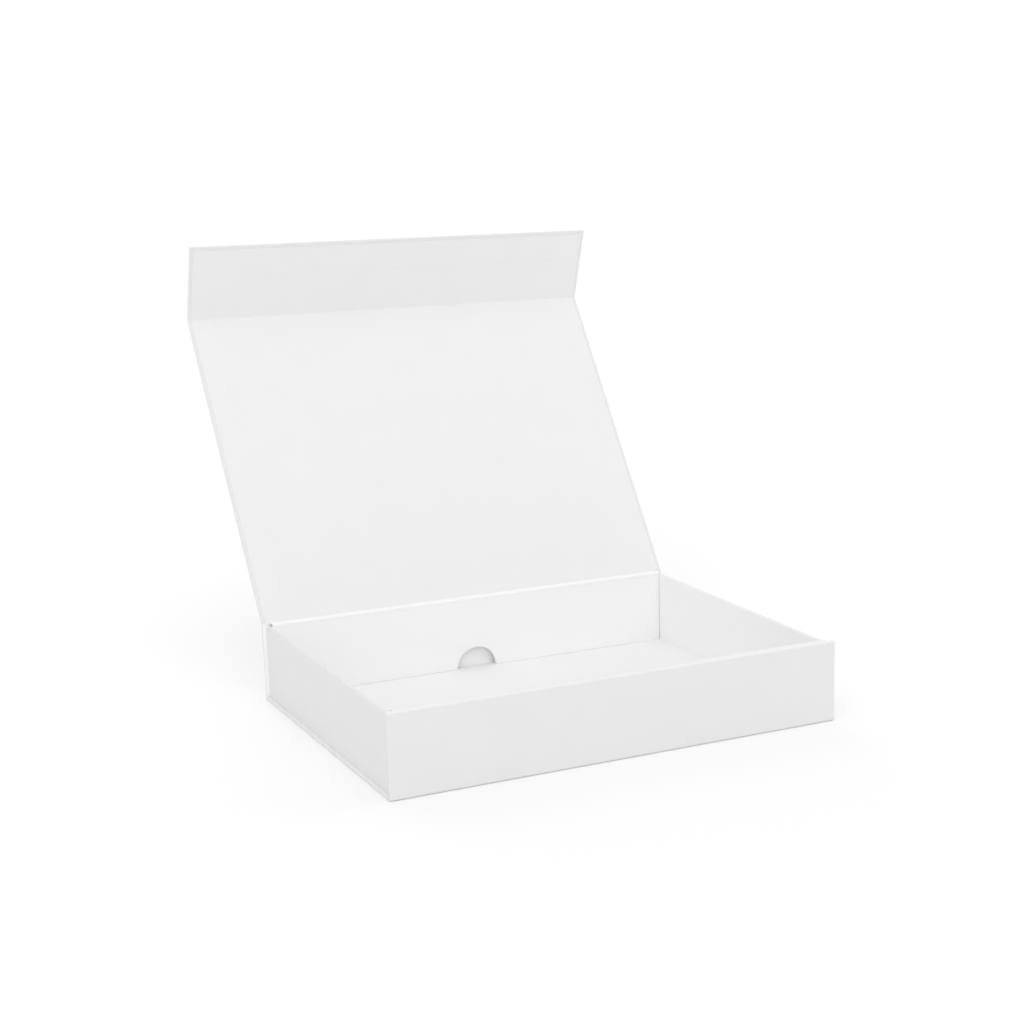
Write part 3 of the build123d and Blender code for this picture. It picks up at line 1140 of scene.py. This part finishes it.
def world():
    """Large soft lights all round, and a plain white backdrop behind the box."""
    scene_world = bpy.data.worlds.new("studio")
    scene_world.use_nodes = True
    tree = scene_world.node_tree
    background = tree.nodes["Background"]
    background.inputs["Color"].default_value = (1, 1, 1, 1)
    place = tree.nodes.new("ShaderNodeTexCoord")
    total = FILL_STRENGTH
    for azimuth, elevation, tightness, strength in SOFT_LIGHTS:
        facing = tree.nodes.new("ShaderNodeVectorMath")
        facing.operation = "DOT_PRODUCT"
        link(tree, place.outputs["Generated"], facing.inputs[0])
        facing.inputs[1].default_value = sky_direction(azimuth, elevation)
        ahead = number_node(tree, "MAXIMUM", facing.outputs["Value"], 0.0)
        soft = number_node(tree, "POWER", ahead, float(tightness))
        light = number_node(tree, "MULTIPLY", soft, strength)
        total = number_node(tree, "ADD", light, total)
    path = tree.nodes.new("ShaderNodeLightPath")
    mix = tree.nodes.new("ShaderNodeMix")
    mix.data_type = "FLOAT"
    link(tree, path.outputs["Is Camera Ray"], mix.inputs["Factor"])
    link(tree, total, mix.inputs["A"])
    mix.inputs["B"].default_value = BACKDROP_STRENGTH
    link(tree, mix.outputs["Result"], background.inputs["Strength"])
    bpy.context.scene.world = scene_world


# The photograph's camera, fitted to the box's edges
IMAGE_SIZE = 1024
FOCAL_PIXELS = 1913.1
CENTRE_X = 611.16
CENTRE_Y = 600.75
CAMERA_PLACE = (-0.52386, -1.10957, 0.38671)
CAMERA_AZIMUTH = -27.454
CAMERA_ELEVATION = 14.272
CAMERA_ROLL = -0.780
SENSOR = 36.0


def camera():
    data = bpy.data.cameras.new("camera")
    data.sensor_width = SENSOR
    data.lens = FOCAL_PIXELS / IMAGE_SIZE * SENSOR
    data.shift_x = (IMAGE_SIZE / 2 - CENTRE_X) / IMAGE_SIZE
    data.shift_y = (CENTRE_Y - IMAGE_SIZE / 2) / IMAGE_SIZE
    azimuth = math.radians(CAMERA_AZIMUTH)
    elevation = math.radians(CAMERA_ELEVATION)
    roll = math.radians(CAMERA_ROLL)
    ahead = Vector(
        (
            -math.sin(azimuth) * math.cos(elevation),
            math.cos(azimuth) * math.cos(elevation),
            -math.sin(elevation),
        )
    )
    right = ahead.cross(Vector((0, 0, 1))).normalized()
    up = right.cross(ahead)
    tilted_right = right * math.cos(roll) + up * math.sin(roll)
    tilted_up = up * math.cos(roll) - right * math.sin(roll)
    axes = Matrix((tilted_right, tilted_up, -ahead)).transposed().to_4x4()
    holder = bpy.data.objects.new("camera", data)
    holder.matrix_world = Matrix.Translation(CAMERA_PLACE) @ axes
    bpy.context.scene.collection.objects.link(holder)
    bpy.context.scene.camera = holder


floor()
world()
camera()
bpy.context.scene.view_settings.view_transform = "Standard"
